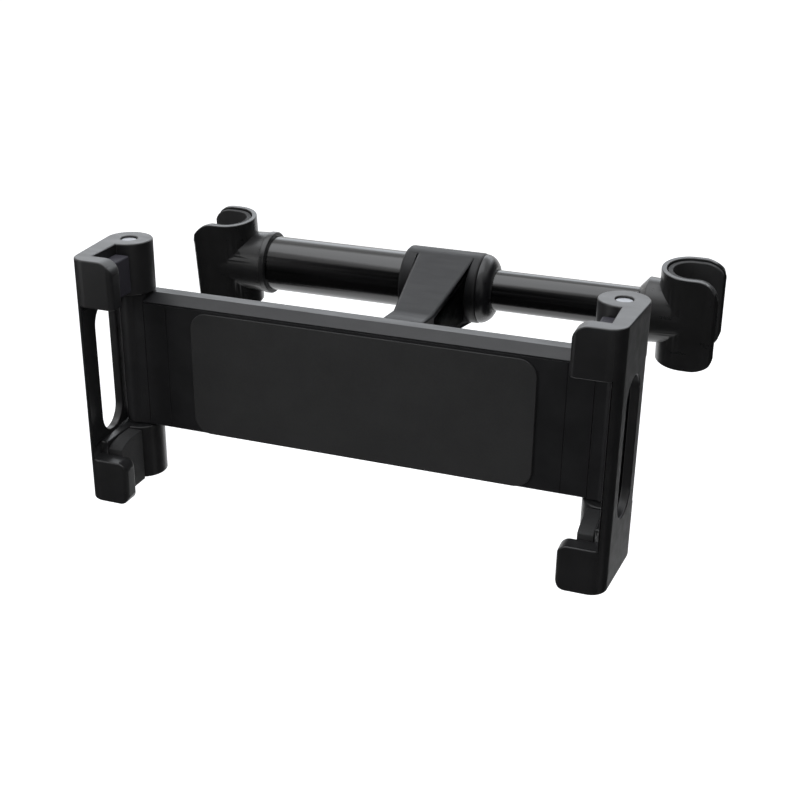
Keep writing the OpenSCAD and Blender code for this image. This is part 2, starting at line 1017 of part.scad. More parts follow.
module slider_body(layer) {
    difference() {
        along_y(layer, layer + slider_t)
            translate([0, z_mid])
                slider_plate();
        translate([pin_x, 0, 0])
            rod_z(pin_r + fit_gap / 2, z_bottom - over, z_top + over);
    }
    translate([0, 0, z_mid])
        spring_tab(layer);
    translate([pin_x, 0, 0])
        slider_head();
}

module right_slider() {
    color(matte_black)
        in_clamp()
            slider_body(right_layer);
}

// The left slider is the right one turned half a turn about the pinion's axle, in the front layer
module left_slider() {
    color(matte_black)
        in_clamp()
            union() {
                difference() {
                    along_y(left_layer, left_layer + slider_t)
                        translate([0, z_mid])
                            rotate(180)
                                slider_plate();
                    translate([-pin_x, 0, 0])
                        rod_z(pin_r + fit_gap / 2, z_bottom - over, z_top + over);
                }
                translate([0, 0, z_mid])
                    rotate([0, 180, 0])
                        spring_tab(left_layer);
                mirror([1, 0, 0])
                    translate([pin_x, 0, 0])
                        slider_head();
            }
}

module clamp_spring() {
    translate([0, clamp_spring_y, -clamp_spring_z])
        coil(-anchor_x, tab_x, spring_r - clamp_wire_r, clamp_wire_r, clamp_turns);
}

module right_spring() {
    color(steel_grey)
        in_clamp()
            translate([0, 0, z_mid])
                clamp_spring();
}

module left_spring() {
    color(steel_grey)
        in_clamp()
            translate([0, 0, z_mid])
                rotate([0, 180, 0])
                    clamp_spring();
}

// Jaws, modelled on the right with the pin at the origin and outward along +X

module on_right() {
    in_clamp()
        translate([pin_x, 0, 0])
            children();
}

module on_left() {
    in_clamp()
        mirror([1, 0, 0])
            translate([pin_x, 0, 0])
                children();
}

module jaw_pin() {
    rod_z(pin_r, -jaw_top + pin_recess, jaw_top - pin_recess);
}

// Plan of a hook: the boss, the side wall, the rounded outer corner and the lip
module hook_plan() {
    lean = [cos(jaw_splay), -sin(jaw_splay)];
    corner = [corner_x, -jaw_depth + corner_r];
    circle(boss_r);
    translate(corner)
        intersection() {
            circle(corner_r);
            translate([0, -corner_r])
                square(corner_r);
        }
    polygon([
        [0, 0],
        boss_r * lean,
        corner + corner_r * lean,
        corner,
        [corner_x, -jaw_depth],
        [-1, -jaw_depth],
        [-1, lip_back_y],
        [seat_x, lip_back_y],
        [seat_x, -boss_r / 2]
    ]);
}

// Plan of the thin wall that joins the two hooks
module wall_plan() {
    inner_x = outer_x - wall_t / cos(jaw_splay);
    lean = tan(jaw_splay);
    intersection() {
        hook_plan();
        polygon([
            [inner_x + wall_start_y * lean, wall_start_y],
            [2 * outer_x, wall_start_y],
            [2 * outer_x, -2 * jaw_depth],
            [inner_x - 2 * jaw_depth * lean, -2 * jaw_depth]
        ]);
    }
}

// Lip between two heights, with its inner end rounded as seen from the front
module lip(z0, z1, r_low, r_high) {
    intersection() {
        along_y(-jaw_depth, lip_back_y)
            round_rect([-lip_reach, z0], [seat_x, z1], [r_low, 0, 0, r_high]);
        along_z(z0, z1)
            round_rect([-lip_reach, -jaw_depth], [seat_x, lip_back_y], [1.5, 0, 0, 1]);
    }
}

module jaw() {
    upper_lip_z = jaw_top - upper_lip_h;
    lower_lip_z = -jaw_top + lower_lip_h;
    slot_r = slot_w / 2;
    difference() {
        union() {
            along_z(hook_top_z, jaw_top)
                hook_plan();
            along_z(-jaw_top, hook_bottom_z)
                hook_plan();
            along_z(hook_bottom_z - over, hook_top_z + over)
                wall_plan();
            lip(upper_lip_z, jaw_top, 0, 4.5);
            lip(-jaw_top, lower_lip_z, 3, 3);
        }
        rod_z(pin_r + fit_gap, -2 * jaw_top, 2 * jaw_top);
        // Finger slot through the side wall
        along_x(1, 2 * outer_x)
            translate([slot_mid_y, z_mid - 0.25]) {
                square([slot_w, slot_len - slot_w], center = true);
                for (s = [-1, 1])
                    translate([0, s * (slot_len - slot_w) / 2])
                        circle(slot_r);
            }
        // The lips stay above and below the bar, so their hooks are cut back there
        along_x(-2 * lip_reach, seat_x + seat_gap)
            translate([lip_back_y - 2 * lip_t, lower_lip_z])
                square([2 * lip_t + seat_gap, upper_lip_z - lower_lip_z]);
    }
}

module right_jaw() {
    color(matte_black)
        on_right()
            jaw();
}

module left_jaw() {
    color(matte_black)
        on_left()
            jaw();
}

module upper_block() {
    z0 = jaw_top - upper_lip_h - seat_gap;
    along_y(block_y0, block_y1)
        round_rect([-block_reach, z0], [seat_x - seat_gap, jaw_top - upper_block_drop], [0.6, 0, 0, 0.6]);
}

// The lower block's top is flat beside the boss and falls in an arc to the lip
module lower_block() {
    flat_y = lower_block_flat_y;
    fall = lower_block_fall;
    top = hook_bottom_z - lower_block_sink;
    along_x(-block_reach, seat_x - seat_gap)
        difference() {
            translate([block_y0, -jaw_top + lower_block_rise])
                square([block_y1 - block_y0, top + jaw_top - lower_block_rise]);
            difference() {
                translate([block_y0 - over, top - fall])
                    square([flat_y - block_y0 + over, fall + over]);
                translate([flat_y, top - fall])
                    scale([(flat_y - block_y0) / fall + 0.3, 1])
                        circle(fall);
            }
        }
}

module right_upper_block() {
    color(rubber_grey)
        on_right()
            upper_block();
}

module right_lower_block() {
    color(rubber_grey)
        on_right()
            lower_block();
}

module left_upper_block() {
    color(rubber_grey)
        on_left()
            upper_block();
}

module left_lower_block() {
    color(rubber_grey)
        on_left()
            lower_block();
}

module right_jaw_pin() {
    color(steel_grey)
        on_right()
            jaw_pin();
}

module left_jaw_pin() {
    color(steel_grey)
        on_left()
            jaw_pin();
}

outer_tube();
left_clip();
left_clip_liner();
arm();
guide_bush();
saddle_screw();
bar_spring();
inner_tube();
slide_collar();
right_clip();
right_clip_liner();
lock_nut();
pressure_cup();
friction_liner();
ball_stud();
stud_screws();
front_cover();
front_pad();
back_cover();
housing_screws();
pinion_axle();
pinion();
left_slider();
right_slider();
left_spring();
right_spring();
left_jaw_pin();
right_jaw_pin();
left_jaw();
left_upper_block();
left_lower_block();
right_jaw();
right_upper_block();
right_lower_block();
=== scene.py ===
"""Dresses the headrest tablet mount: finishes, rounded edges, springs, screws, studio, camera."""

import json
import logging
import math
from dataclasses import dataclass, field
from enum import Enum
from typing import Any, Iterable, Sequence

import bmesh
import bpy
from mathutils import Matrix, Vector


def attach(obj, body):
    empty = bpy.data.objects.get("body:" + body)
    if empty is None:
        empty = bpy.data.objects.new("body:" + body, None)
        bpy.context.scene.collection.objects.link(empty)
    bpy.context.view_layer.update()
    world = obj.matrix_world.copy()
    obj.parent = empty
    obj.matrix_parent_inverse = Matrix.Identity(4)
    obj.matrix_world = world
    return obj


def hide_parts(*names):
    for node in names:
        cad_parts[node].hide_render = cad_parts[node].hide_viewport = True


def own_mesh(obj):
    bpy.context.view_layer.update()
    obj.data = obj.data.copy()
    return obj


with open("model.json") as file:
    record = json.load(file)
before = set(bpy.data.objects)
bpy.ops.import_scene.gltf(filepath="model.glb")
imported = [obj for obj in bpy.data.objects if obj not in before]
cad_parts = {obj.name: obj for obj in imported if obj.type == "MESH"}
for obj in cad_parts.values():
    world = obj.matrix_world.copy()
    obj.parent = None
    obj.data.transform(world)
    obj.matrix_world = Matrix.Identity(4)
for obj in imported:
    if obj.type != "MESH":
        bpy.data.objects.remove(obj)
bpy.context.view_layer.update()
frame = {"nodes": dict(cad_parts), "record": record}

MM = 0.001
Colour = tuple[float, float, float]
Plan = tuple[float, float]
Point = tuple[float, float, float]

# Sockets of a colour Mix node, where several share a name
MIX_FACTOR, MIX_LOW, MIX_HIGH, MIX_RESULT = 0, 6, 7, 2
# The middle of a noise texture, which holds nearly all of its values
NOISE_LOW, NOISE_HIGH = 0.3, 0.7
NOISE_MEAN = 0.5
# Octaves of detail in soft clouds and in fine grain
SOFT, FINE = 2.0, 3.0

log = logging.getLogger("tablet_mount")


# Shader arithmetic


class Signal:
    """A socket of a shader tree that can be used in Python arithmetic."""

    def __init__(self, nodes: "NodeSet", socket: bpy.types.NodeSocket) -> None:
        """Wraps an output socket.

        Args:
            nodes: the tree under construction.
            socket: the output that carries the value.
        """
        self.nodes = nodes
        self.socket = socket

    def _combine(self, operation: str, *operands: Any) -> "Signal":
        """Adds a Math node over the operands.

        Args:
            operation: the Math node's operation.
            operands: signals or numbers, in the node's order.

        Returns:
            The node's result.
        """
        sockets = dict(enumerate(operands))
        return self.nodes.add("ShaderNodeMath", {"operation": operation}, sockets)

    def __add__(self, other: Any) -> "Signal":
        """Sum of two values."""
        return self._combine("ADD", self, other)

    def __radd__(self, other: Any) -> "Signal":
        """Sum with a number on the left."""
        return self._combine("ADD", other, self)

    def __sub__(self, other: Any) -> "Signal":
        """Difference of two values."""
        return self._combine("SUBTRACT", self, other)

    def __rsub__(self, other: Any) -> "Signal":
        """Difference with a number on the left."""
        return self._combine("SUBTRACT", other, self)

    def __mul__(self, other: Any) -> "Signal":
        """Product of two values."""
        return self._combine("MULTIPLY", self, other)

    def __rmul__(self, other: Any) -> "Signal":
        """Product with a number on the left."""
        return self._combine("MULTIPLY", other, self)

    def most(self, other: Any) -> "Signal":
        """The larger of two values."""
        return self._combine("MAXIMUM", self, other)


class NodeSet:
    """A shader tree and the nodes added to it."""

    def __init__(self, tree: bpy.types.NodeTree) -> None:
        """Takes a tree.

        Args:
            tree: the material's or the world's tree.
        """
        self.tree = tree

    def add(
        self,
        kind: str,
        settings: dict[str, Any] | None = None,
        sockets: dict[Any, Any] | None = None,
        output: Any = 0,
    ) -> Signal:
        """Adds a node of any type.

        Args:
            kind: the node's type.
            settings: its settings.
            sockets: the values or signals of its inputs, by name or place.
            output: the output to return, by name or place.

        Returns:
            The chosen output.
        """
        node = self.tree.nodes.new(kind)
        for key, value in (settings or {}).items():
            setattr(node, key, value)
        for key, value in (sockets or {}).items():
            self.feed(node.inputs[key], value)
        return Signal(self, node.outputs[output])

    def feed(self, socket: bpy.types.NodeSocket, value: Any) -> None:
        """Links a signal to an input, or sets the input's value.

        Args:
            socket: the input.
            value: a signal, a number, or a colour of three numbers.
        """
        if isinstance(value, Signal):
            self.tree.links.new(value.socket, socket)
        elif isinstance(value, tuple) and socket.type == "RGBA" and len(value) == 3:
            socket.default_value = (*value, 1.0)
        else:
            socket.default_value = value

    def place(self) -> Signal:
        """The point on the piece, in metres."""
        return self.add("ShaderNodeTexCoord", output="Object")

    def noise(self, grain: float, detail: float = FINE, stretch: Point = (1, 1, 1)) -> Signal:
        """Noise whose grains have a real size.

        Args:
            grain: size of a grain in metres.
            detail: octaves of detail.
            stretch: how many times finer the noise is along each axis.

        Returns:
            The noise, from 0 to 1.
        """
        mapping = self.add("ShaderNodeMapping", None, {"Vector": self.place(), "Scale": stretch})
        sockets = {"Vector": mapping, "Scale": 1.0 / grain, "Detail": detail}
        return self.add("ShaderNodeTexNoise", None, sockets, "Fac")

    def blend(self, amount: Any, low: Any, high: Any) -> Signal:
        """Mixes two colours.

        Args:
            amount: 0 for the first colour and 1 for the second.
            low: the first colour.
            high: the second colour.

        Returns:
            The mixed colour.
        """
        settings = {"data_type": "RGBA"}
        sockets = {MIX_FACTOR: amount, MIX_LOW: low, MIX_HIGH: high}
        return self.add("ShaderNodeMix", settings, sockets, MIX_RESULT)

    def remap(self, value: Signal, low: float, high: float) -> Signal:
        """Spreads the middle of a noise between two values.

        Args:
            value: the noise.
            low: the result at the noise's low end.
            high: the result at its high end.

        Returns:
            The spread value.
        """
        source = {"Value": value, "From Min": NOISE_LOW, "From Max": NOISE_HIGH}
        return self.add("ShaderNodeMapRange", None, {**source, "To Min": low, "To Max": high})

    def mottle(self, grain: float, detail: float, low: Colour, high: Colour) -> Signal:
        """Clouds of two colours.

        Args:
            grain: size of a cloud in metres.
            detail: octaves of detail.
            low: the first colour.
            high: the second colour.

        Returns:
            The clouded colour.
        """
        return self.blend(self.remap(self.noise(grain, detail), 0.0, 1.0), low, high)

    def seen_rays(self) -> Signal:
        """Tells the rays of the camera, of reflections and of glass from those that light the part.

        Returns:
            One for the first kinds and zero for the last.
        """
        kinds = ("Is Camera Ray", "Is Glossy Ray", "Is Transmission Ray")
        camera, glossy, glass = (self.add("ShaderNodeLightPath", output=kind) for kind in kinds)
        return camera.most(glossy).most(glass)

    def bump(self, height: Signal, depth: float) -> Signal:
        """A bump of a real depth.

        Args:
            height: the height, from 0 to 1.
            depth: the depth in metres.

        Returns:
            The bumped normal.
        """
        sockets = {"Height": height, "Distance": depth, "Strength": 1.0}
        return self.add("ShaderNodeBump", None, sockets)


class Shader(NodeSet):
    """One material and the nodes that make it."""

    def __init__(self, name: str) -> None:
        """Starts a material with a Principled shader.

        Args:
            name: the material's name.
        """
        self.material = bpy.data.materials.new(name)
        self.material.use_nodes = True
        super().__init__(self.material.node_tree)
        self.surface = self.tree.nodes["Principled BSDF"]

    def finish(self, **inputs: Any) -> bpy.types.Material:
        """Sets the surface's inputs and returns the material.

        Args:
            inputs: values or signals by the input's name, with _ for a space.

        Returns:
            The material.
        """
        for key, value in inputs.items():
            self.feed(self.surface.inputs[key.replace("_", " ")], value)
        return self.material


# Finishes


def paler(colour: Colour, lift: float) -> Colour:
    """A colour whose channels are all raised.

    Args:
        colour: the colour.
        lift: the factor.

    Returns:
        The paler colour.
    """
    red, green, blue = (channel * lift for channel in colour)
    return red, green, blue


@dataclass(frozen=True)
class MouldedPlastic:
    """Black injection-moulded plastic with a fine eroded texture."""

    colour: Colour = (0.014, 0.014, 0.0155)
    lift: float = 1.35
    roughness: float = 0.42
    spread: float = 0.06
    grain: float = 0.35 * MM
    depth: float = 0.012 * MM
    specular: float = 0.5
    cloud: float = 9 * MM
    flow: float = 3 * MM
    flow_stretch: Point = (0.25, 1, 1)
    speckle: float = 0.04

    def material(self, name: str) -> bpy.types.Material:
        """Builds the plastic.

        Args:
            name: the material's name.

        Returns:
            The material.
        """
        shader = Shader(name)
        texture = shader.noise(self.grain, SOFT)
        flow = shader.noise(self.flow, FINE, self.flow_stretch)
        gloss = shader.remap(flow, self.roughness - self.spread, self.roughness + self.spread)
        return shader.finish(
            Base_Color=shader.mottle(self.cloud, SOFT, self.colour, paler(self.colour, self.lift)),
            Roughness=gloss + (texture - NOISE_MEAN) * self.speckle,
            Specular_IOR_Level=self.specular,
            Normal=shader.bump(texture, self.depth),
        )


@dataclass(frozen=True)
class GlossEnamel:
    """Black enamel on a drawn tube, with a faint orange peel and draw lines along X."""

    colour: Colour = (0.002, 0.002, 0.0022)
    roughness: float = 0.18
    specular: float = 0.7
    peel: float = 1.6 * MM
    peel_share: float = 0.7
    depth: float = 0.01 * MM
    draw: float = 0.5 * MM
    draw_stretch: Point = (0.01, 1, 1)
    haze: float = 14 * MM
    lift: float = 1.6
    smoother: float = 0.03
    rougher: float = 0.05

    def material(self, name: str) -> bpy.types.Material:
        """Builds the enamel.

        Args:
            name: the material's name.

        Returns:
            The material.
        """
        shader = Shader(name)
        peel = shader.noise(self.peel, SOFT)
        lines = shader.noise(self.draw, FINE, self.draw_stretch)
        low, high = self.roughness - self.smoother, self.roughness + self.rougher
        height = peel * self.peel_share + lines * (1.0 - self.peel_share)
        return shader.finish(
            Base_Color=shader.mottle(self.haze, SOFT, self.colour, paler(self.colour, self.lift)),
            Roughness=shader.remap(lines, low, high),
            Specular_IOR_Level=self.specular,
            Normal=shader.bump(height, self.depth),
        )


@dataclass(frozen=True)
class SoftRubber:
    """Matte rubber with a powdery surface and tiny pits."""

    colour: Colour = (0.041, 0.041, 0.042)
    bloom: Colour = (0.048, 0.048, 0.049)
    roughness: float = 0.62
    pit: float = 0.5 * MM
    depth: float = 0.02 * MM
    specular: float = 0.35
    cloud: float = 12 * MM
    smoother: float = 0.05
    rougher: float = 0.08

    def material(self, name: str) -> bpy.types.Material:
        """Builds the rubber.

        Args:
            name: the material's name.

        Returns:
            The material.
        """
        shader = Shader(name)
        pits = shader.noise(self.pit, FINE)
        low, high = self.roughness - self.smoother, self.roughness + self.rougher
        return shader.finish(
            Base_Color=shader.mottle(self.cloud, FINE, self.colour, self.bloom),
            Roughness=shader.remap(pits, low, high),
            Specular_IOR_Level=self.specular,
            Normal=shader.bump(pits, self.depth),
        )


@dataclass(frozen=True)
class BareMetal:
    """Plated or drawn steel with fine brushing along one axis."""

    colour: Colour = (0.5, 0.5, 0.52)
    dark: Colour = (0.36, 0.36, 0.38)
    roughness: float = 0.3
    brushing: float = 0.12 * MM
    brush_stretch: Point = (1, 1, 0.1)
    stain: float = 2.5 * MM
    depth: float = 0.004 * MM
    smoother: float = 0.06
    rougher: float = 0.1

    def material(self, name: str) -> bpy.types.Material:
        """Builds the metal.

        Args:
            name: the material's name.

        Returns:
            The material.
        """
        shader = Shader(name)
        lines = shader.noise(self.brushing, FINE, self.brush_stretch)
        low, high = self.roughness - self.smoother, self.roughness + self.rougher
        return shader.finish(
            Base_Color=shader.mottle(self.stain, SOFT, self.dark, self.colour),
            Roughness=shader.remap(lines, low, high),
            Metallic=1.0,
            Normal=shader.bump(lines, self.depth),
        )


@dataclass(frozen=True)
class Acetal:
    """Milky moulded acetal of the inner pieces."""

    colour: Colour = (0.62, 0.62, 0.6)
    lift: float = 1.12
    roughness: float = 0.35
    spread: float = 0.05
    cloud: float = 4 * MM
    grain: float = 0.3 * MM
    depth: float = 0.005 * MM

    def material(self, name: str) -> bpy.types.Material:
        """Builds the acetal.

        Args:
            name: the material's name.

        Returns:
            The material.
        """
        shader = Shader(name)
        fine = shader.noise(self.grain, SOFT)
        low, high = self.roughness - self.spread, self.roughness + self.spread
        return shader.finish(
            Base_Color=shader.mottle(self.cloud, SOFT, self.colour, paler(self.colour, self.lift)),
            Roughness=shader.remap(fine, low, high),
            Normal=shader.bump(fine, self.depth),
        )


Finish = MouldedPlastic | GlossEnamel | SoftRubber | BareMetal | Acetal


class Look(Enum):
    """The looks that pieces wear, by the name of their material."""

    TUBE = "gloss_black_tube"
    BODY = "matte_black_plastic"
    ARM = "satin_black_plastic"
    NOSE = "polished_black_plastic"
    CLIP = "clip_black_plastic"
    BEVEL = "bevel_black_plastic"
    RUBBER = "grey_black_rubber"
    BLOCK = "block_rubber"
    STEEL = "bare_steel"
    PIN = "dark_pin_steel"
    SPRING = "spring_steel"
    ACETAL = "white_acetal"


FINISHES: dict[Look, Finish] = {
    Look.TUBE: GlossEnamel(),
    Look.BODY: MouldedPlastic((0.019, 0.019, 0.02), roughness=0.36, spread=0.04),
    Look.ARM: MouldedPlastic((0.011, 0.011, 0.012), roughness=0.46, specular=0.28),
    Look.NOSE: MouldedPlastic((0.012, 0.012, 0.0135), roughness=0.3, spread=0.03),
    Look.CLIP: MouldedPlastic(
        (0.021, 0.021, 0.0215), roughness=0.3, spread=0.03, depth=0.005 * MM
    ),
    Look.BEVEL: MouldedPlastic(
        (0.0235, 0.0235, 0.025), roughness=0.36, spread=0.05, specular=0.3
    ),
    Look.RUBBER: SoftRubber(),
    Look.BLOCK: SoftRubber((0.03, 0.028, 0.037), bloom=(0.04, 0.038, 0.05)),
    Look.STEEL: BareMetal(),
    Look.PIN: BareMetal((0.3, 0.305, 0.32), dark=(0.22, 0.225, 0.24), roughness=0.34),
    Look.SPRING: BareMetal((0.48, 0.48, 0.5), dark=(0.38, 0.38, 0.4), roughness=0.25),
    Look.ACETAL: Acetal(),
}


class Paintbox:
    """Builds each finish once."""

    def __init__(self) -> None:
        """Starts with no material built."""
        self._built: dict[Look, bpy.types.Material] = {}

    def get(self, look: Look) -> bpy.types.Material:
        """The material of a look.

        Args:
            look: the look.

        Returns:
            The material, built on first use.
        """
        if look not in self._built:
            self._built[look] = FINISHES[look].material(look.value)
        return self._built[look]


PAINTS = Paintbox()


# Meshes


@dataclass(frozen=True)
class Rounding:
    """How the outer edges of a piece are rounded.

    Attributes:
        width: width of the rounding in metres.
        steps: faces across the rounding.
        angle: outer edges sharper than this many degrees are rounded.
        clamp: whether the shortest edge limits the width everywhere.
    """

    width: float
    steps: int = 2
    angle: float = 17.0
    clamp: bool = True


# Corners closer than this are joined, and faces that are flatter than this are merged
WELD = 0.002 * MM
FLAT_ANGLE = math.radians(0.5)


def body_of(node: str) -> str:
    """The body that carries a node.

    Args:
        node: the node's name.

    Returns:
        The body's name.
    """
    bodies = frame["record"]["behaviour"]["bodies"]
    return next(body for body, nodes in bodies.items() if node in nodes)


def new_object(name: str, mesh: bpy.types.Mesh) -> bpy.types.Object:
    """Links a mesh to the scene.

    Args:
        name: the object's name.
        mesh: its mesh.

    Returns:
        The object.
    """
    piece = bpy.data.objects.new(name, mesh)
    bpy.context.scene.collection.objects.link(piece)
    return piece


def bake_modifiers(piece: bpy.types.Object) -> None:
    """Turns a piece with modifiers into a plain mesh.

    Args:
        piece: the piece.
    """
    bpy.context.view_layer.update()
    evaluated = piece.evaluated_get(bpy.context.evaluated_depsgraph_get())
    mesh = bpy.data.meshes.new_from_object(evaluated)
    piece.modifiers.clear()
    piece.data = mesh


def slot_of(node: str) -> str:
    """The record's material slot of a node.

    Args:
        node: the node's name.

    Returns:
        The slot's name.
    """
    subparts = frame["record"]["subparts"]
    return next(part["material_slot"] for part in subparts if part["node"] == node)


def stand_in(piece: bpy.types.Object, node: str) -> None:
    """Puts a finished piece in the place of a CAD node.

    Args:
        piece: the piece.
        node: the node's name.
    """
    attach(piece, body_of(node))
    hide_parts(node)
    slot_of(node)
    log.info("%s stands for %s: %d faces", piece.name, node, len(piece.data.polygons))


def paint_node(node: str, look: Look) -> None:
    """Gives a CAD node a look.

    Args:
        node: the node's name.
        look: its look.
    """
    holder = frame["nodes"][node]
    for place in holder.material_slots:
        place.material = PAINTS.get(look)
    log.info("painted %s with %s", node, look.value)


def prism(
    name: str, outline: Sequence[Plan], low: float, high: float, place: Matrix
) -> bpy.types.Object:
    """An upright prism, used to cut another piece.

    Args:
        name: the object's name.
        outline: the corners of its foot.
        low: height of its foot.
        high: height of its top.
        place: the transform of its frame.

    Returns:
        The prism.
    """
    count = len(outline)
    corners = [place @ Vector((*corner, z)) for z in (low, high) for corner in outline]
    sides = [(i, (i + 1) % count, count + (i + 1) % count, count + i) for i in range(count)]
    ends = [tuple(reversed(range(count))), tuple(range(count, 2 * count))]
    mesh = bpy.data.meshes.new(name)
    mesh.from_pydata(corners, [], [*sides, *ends])
    solid = bmesh.new()
    solid.from_mesh(mesh)
    bmesh.ops.recalc_face_normals(solid, faces=solid.faces)
    solid.to_mesh(mesh)
    solid.free()
    return new_object(name, mesh)


def cut_away(piece: bpy.types.Object, tools: Iterable[bpy.types.Object]) -> None:
    """Takes cutting pieces away from a piece and removes them.

    Args:
        piece: the piece.
        tools: the cutting pieces.
    """
    for tool in tools:
        cut = piece.modifiers.new("cut", "BOOLEAN")
        cut.operation = "DIFFERENCE"
        cut.solver = "EXACT"
        cut.object = tool
        bake_modifiers(piece)
        bpy.data.objects.remove(tool)


def soften(
    node: str, look: Look, edge_shape: Rounding, tools: Iterable[bpy.types.Object] = ()
) -> None:
    """Makes a copy of a CAD node with its sharp edges rounded, which stands for the node.

    Args:
        node: the node's name.
        look: its look.
        edge_shape: the rounding of its edges.
        tools: pieces that are cut away first.
    """
    piece = new_object(f"{node}_rounded", frame["nodes"][node].data.copy())
    cut_away(piece, tools)
    mesh = piece.data
    tidy = bmesh.new()
    tidy.from_mesh(mesh)
    bmesh.ops.remove_doubles(tidy, verts=tidy.verts, dist=WELD)
    bmesh.ops.dissolve_limit(tidy, angle_limit=FLAT_ANGLE, verts=tidy.verts, edges=tidy.edges)
    weight = tidy.edges.layers.float.new("bevel_weight_edge")
    for edge in tidy.edges:
        if len(edge.link_faces) == 2 and edge.calc_face_angle() > math.radians(edge_shape.angle):
            edge[weight] = float(edge.is_convex)
            edge.smooth = edge.is_convex
    tidy.to_mesh(mesh)
    tidy.free()
    mesh.materials.clear()
    mesh.materials.append(PAINTS.get(look))
    for face in mesh.polygons:
        face.use_smooth = True
        face.material_index = 0
    rounding = piece.modifiers.new("rounding", "BEVEL")
    rounding.width = edge_shape.width
    rounding.segments = edge_shape.steps
    rounding.limit_method = "WEIGHT"
    rounding.use_clamp_overlap = edge_shape.clamp
    rounding.miter_outer = "MITER_ARC"
    shading = piece.modifiers.new("shading", "WEIGHTED_NORMAL")
    shading.keep_sharp = True
    bake_modifiers(piece)
    stand_in(piece, node)


# Geometry Nodes


class NodeTree:
    """A Geometry Nodes tree with named inputs."""

    def __init__(self, name: str, inputs: dict[str, tuple[str, Any]]) -> None:
        """Starts a tree.

        Args:
            name: the tree's name.
            inputs: the socket type and default value of each named input.
        """
        self.tree = bpy.data.node_groups.new(name, "GeometryNodeTree")
        for way in ("INPUT", "OUTPUT"):
            self.tree.interface.new_socket(
                "Geometry", in_out=way, socket_type="NodeSocketGeometry"
            )
        for label, (kind, value) in inputs.items():
            socket = self.tree.interface.new_socket(label, in_out="INPUT", socket_type=kind)
            if value is not None:
                socket.default_value = value
        self.source = self.tree.nodes.new("NodeGroupInput")
        self.result = self.tree.nodes.new("NodeGroupOutput")

    def add(
        self, kind: str, settings: dict[str, Any] | None = None, **sockets: Any
    ) -> bpy.types.Node:
        """Adds a node.

        Args:
            kind: the node's type.
            settings: its settings.
            sockets: values or linked outputs by the input's name, with _ for a space.

        Returns:
            The node.
        """
        node = self.tree.nodes.new(kind)
        for key, value in (settings or {}).items():
            setattr(node, key, value)
        for key, value in sockets.items():
            socket = node.inputs[key.replace("_", " ")]
            if isinstance(value, bpy.types.NodeSocket):
                self.tree.links.new(value, socket)
            else:
                socket.default_value = value
        return node

    def link(self, output: bpy.types.NodeSocket, socket: bpy.types.NodeSocket) -> None:
        """Links an output to an input.

        Args:
            output: the output.
            socket: the input.
        """
        self.tree.links.new(output, socket)

    def scaled(self, value: bpy.types.NodeSocket, factor: float) -> bpy.types.NodeSocket:
        """A value times a number.

        Args:
            value: the value's output.
            factor: the number.

        Returns:
            The product's output.
        """
        product = self.add("ShaderNodeMath", {"operation": "MULTIPLY"})
        self.link(value, product.inputs[0])
        product.inputs[1].default_value = factor
        return product.outputs[0]

    def vector(self, x: Any, y: Any, z: Any) -> bpy.types.NodeSocket:
        """A vector from three outputs or numbers."""
        return self.add("ShaderNodeCombineXYZ", None, X=x, Y=y, Z=z).outputs[0]

    def close(self, geometry: bpy.types.NodeSocket) -> None:
        """Ends the tree with real geometry that has its material.

        Args:
            geometry: the geometry to give out.
        """
        real = self.add("GeometryNodeRealizeInstances", None, Geometry=geometry)
        painted = self.add(
            "GeometryNodeSetMaterial",
            None,
            Geometry=real.outputs[0],
            Material=self.source.outputs["Material"],
        )
        self.link(painted.outputs[0], self.result.inputs[0])

    def run(self, piece: bpy.types.Object, values: dict[str, Any]) -> None:
        """Runs the tree on a piece and leaves a plain mesh.

        Args:
            piece: the piece whose mesh goes in.
            values: the value of each named input.
        """
        modifier = piece.modifiers.new(self.tree.name, "NODES")
        modifier.node_group = self.tree
        for item in self.tree.interface.items_tree:
            if item.in_out == "INPUT" and item.name in values:
                modifier[item.identifier] = values[item.name]
        bake_modifiers(piece)


def coil_tree(steps: int = 24, sides: int = 10) -> NodeTree:
    """Tree that winds a round wire into a coil along Z.

    Args:
        steps: faces along a turn.
        sides: faces around the wire.

    Returns:
        The tree.
    """
    tree = NodeTree(
        "wind_coil",
        {
            "Coil radius": ("NodeSocketFloat", 1 * MM),
            "Wire radius": ("NodeSocketFloat", 0.3 * MM),
            "Length": ("NodeSocketFloat", 10 * MM),
            "Turns": ("NodeSocketFloat", 5.0),
            "Material": ("NodeSocketMaterial", None),
        },
    )
    entry = tree.source.outputs
    spiral = tree.add(
        "GeometryNodeCurveSpiral",
        None,
        Resolution=steps,
        Rotations=entry["Turns"],
        Start_Radius=entry["Coil radius"],
        End_Radius=entry["Coil radius"],
        Height=entry["Length"],
    )
    section = tree.add(
        "GeometryNodeCurvePrimitiveCircle", None, Resolution=sides, Radius=entry["Wire radius"]
    )
    wire = tree.add(
        "GeometryNodeCurveToMesh",
        None,
        Curve=spiral.outputs[0],
        Profile_Curve=section.outputs[0],
        Fill_Caps=True,
    )
    smooth = tree.add("GeometryNodeSetShadeSmooth", None, Geometry=wire.outputs[0])
    tree.close(smooth.outputs[0])
    return tree


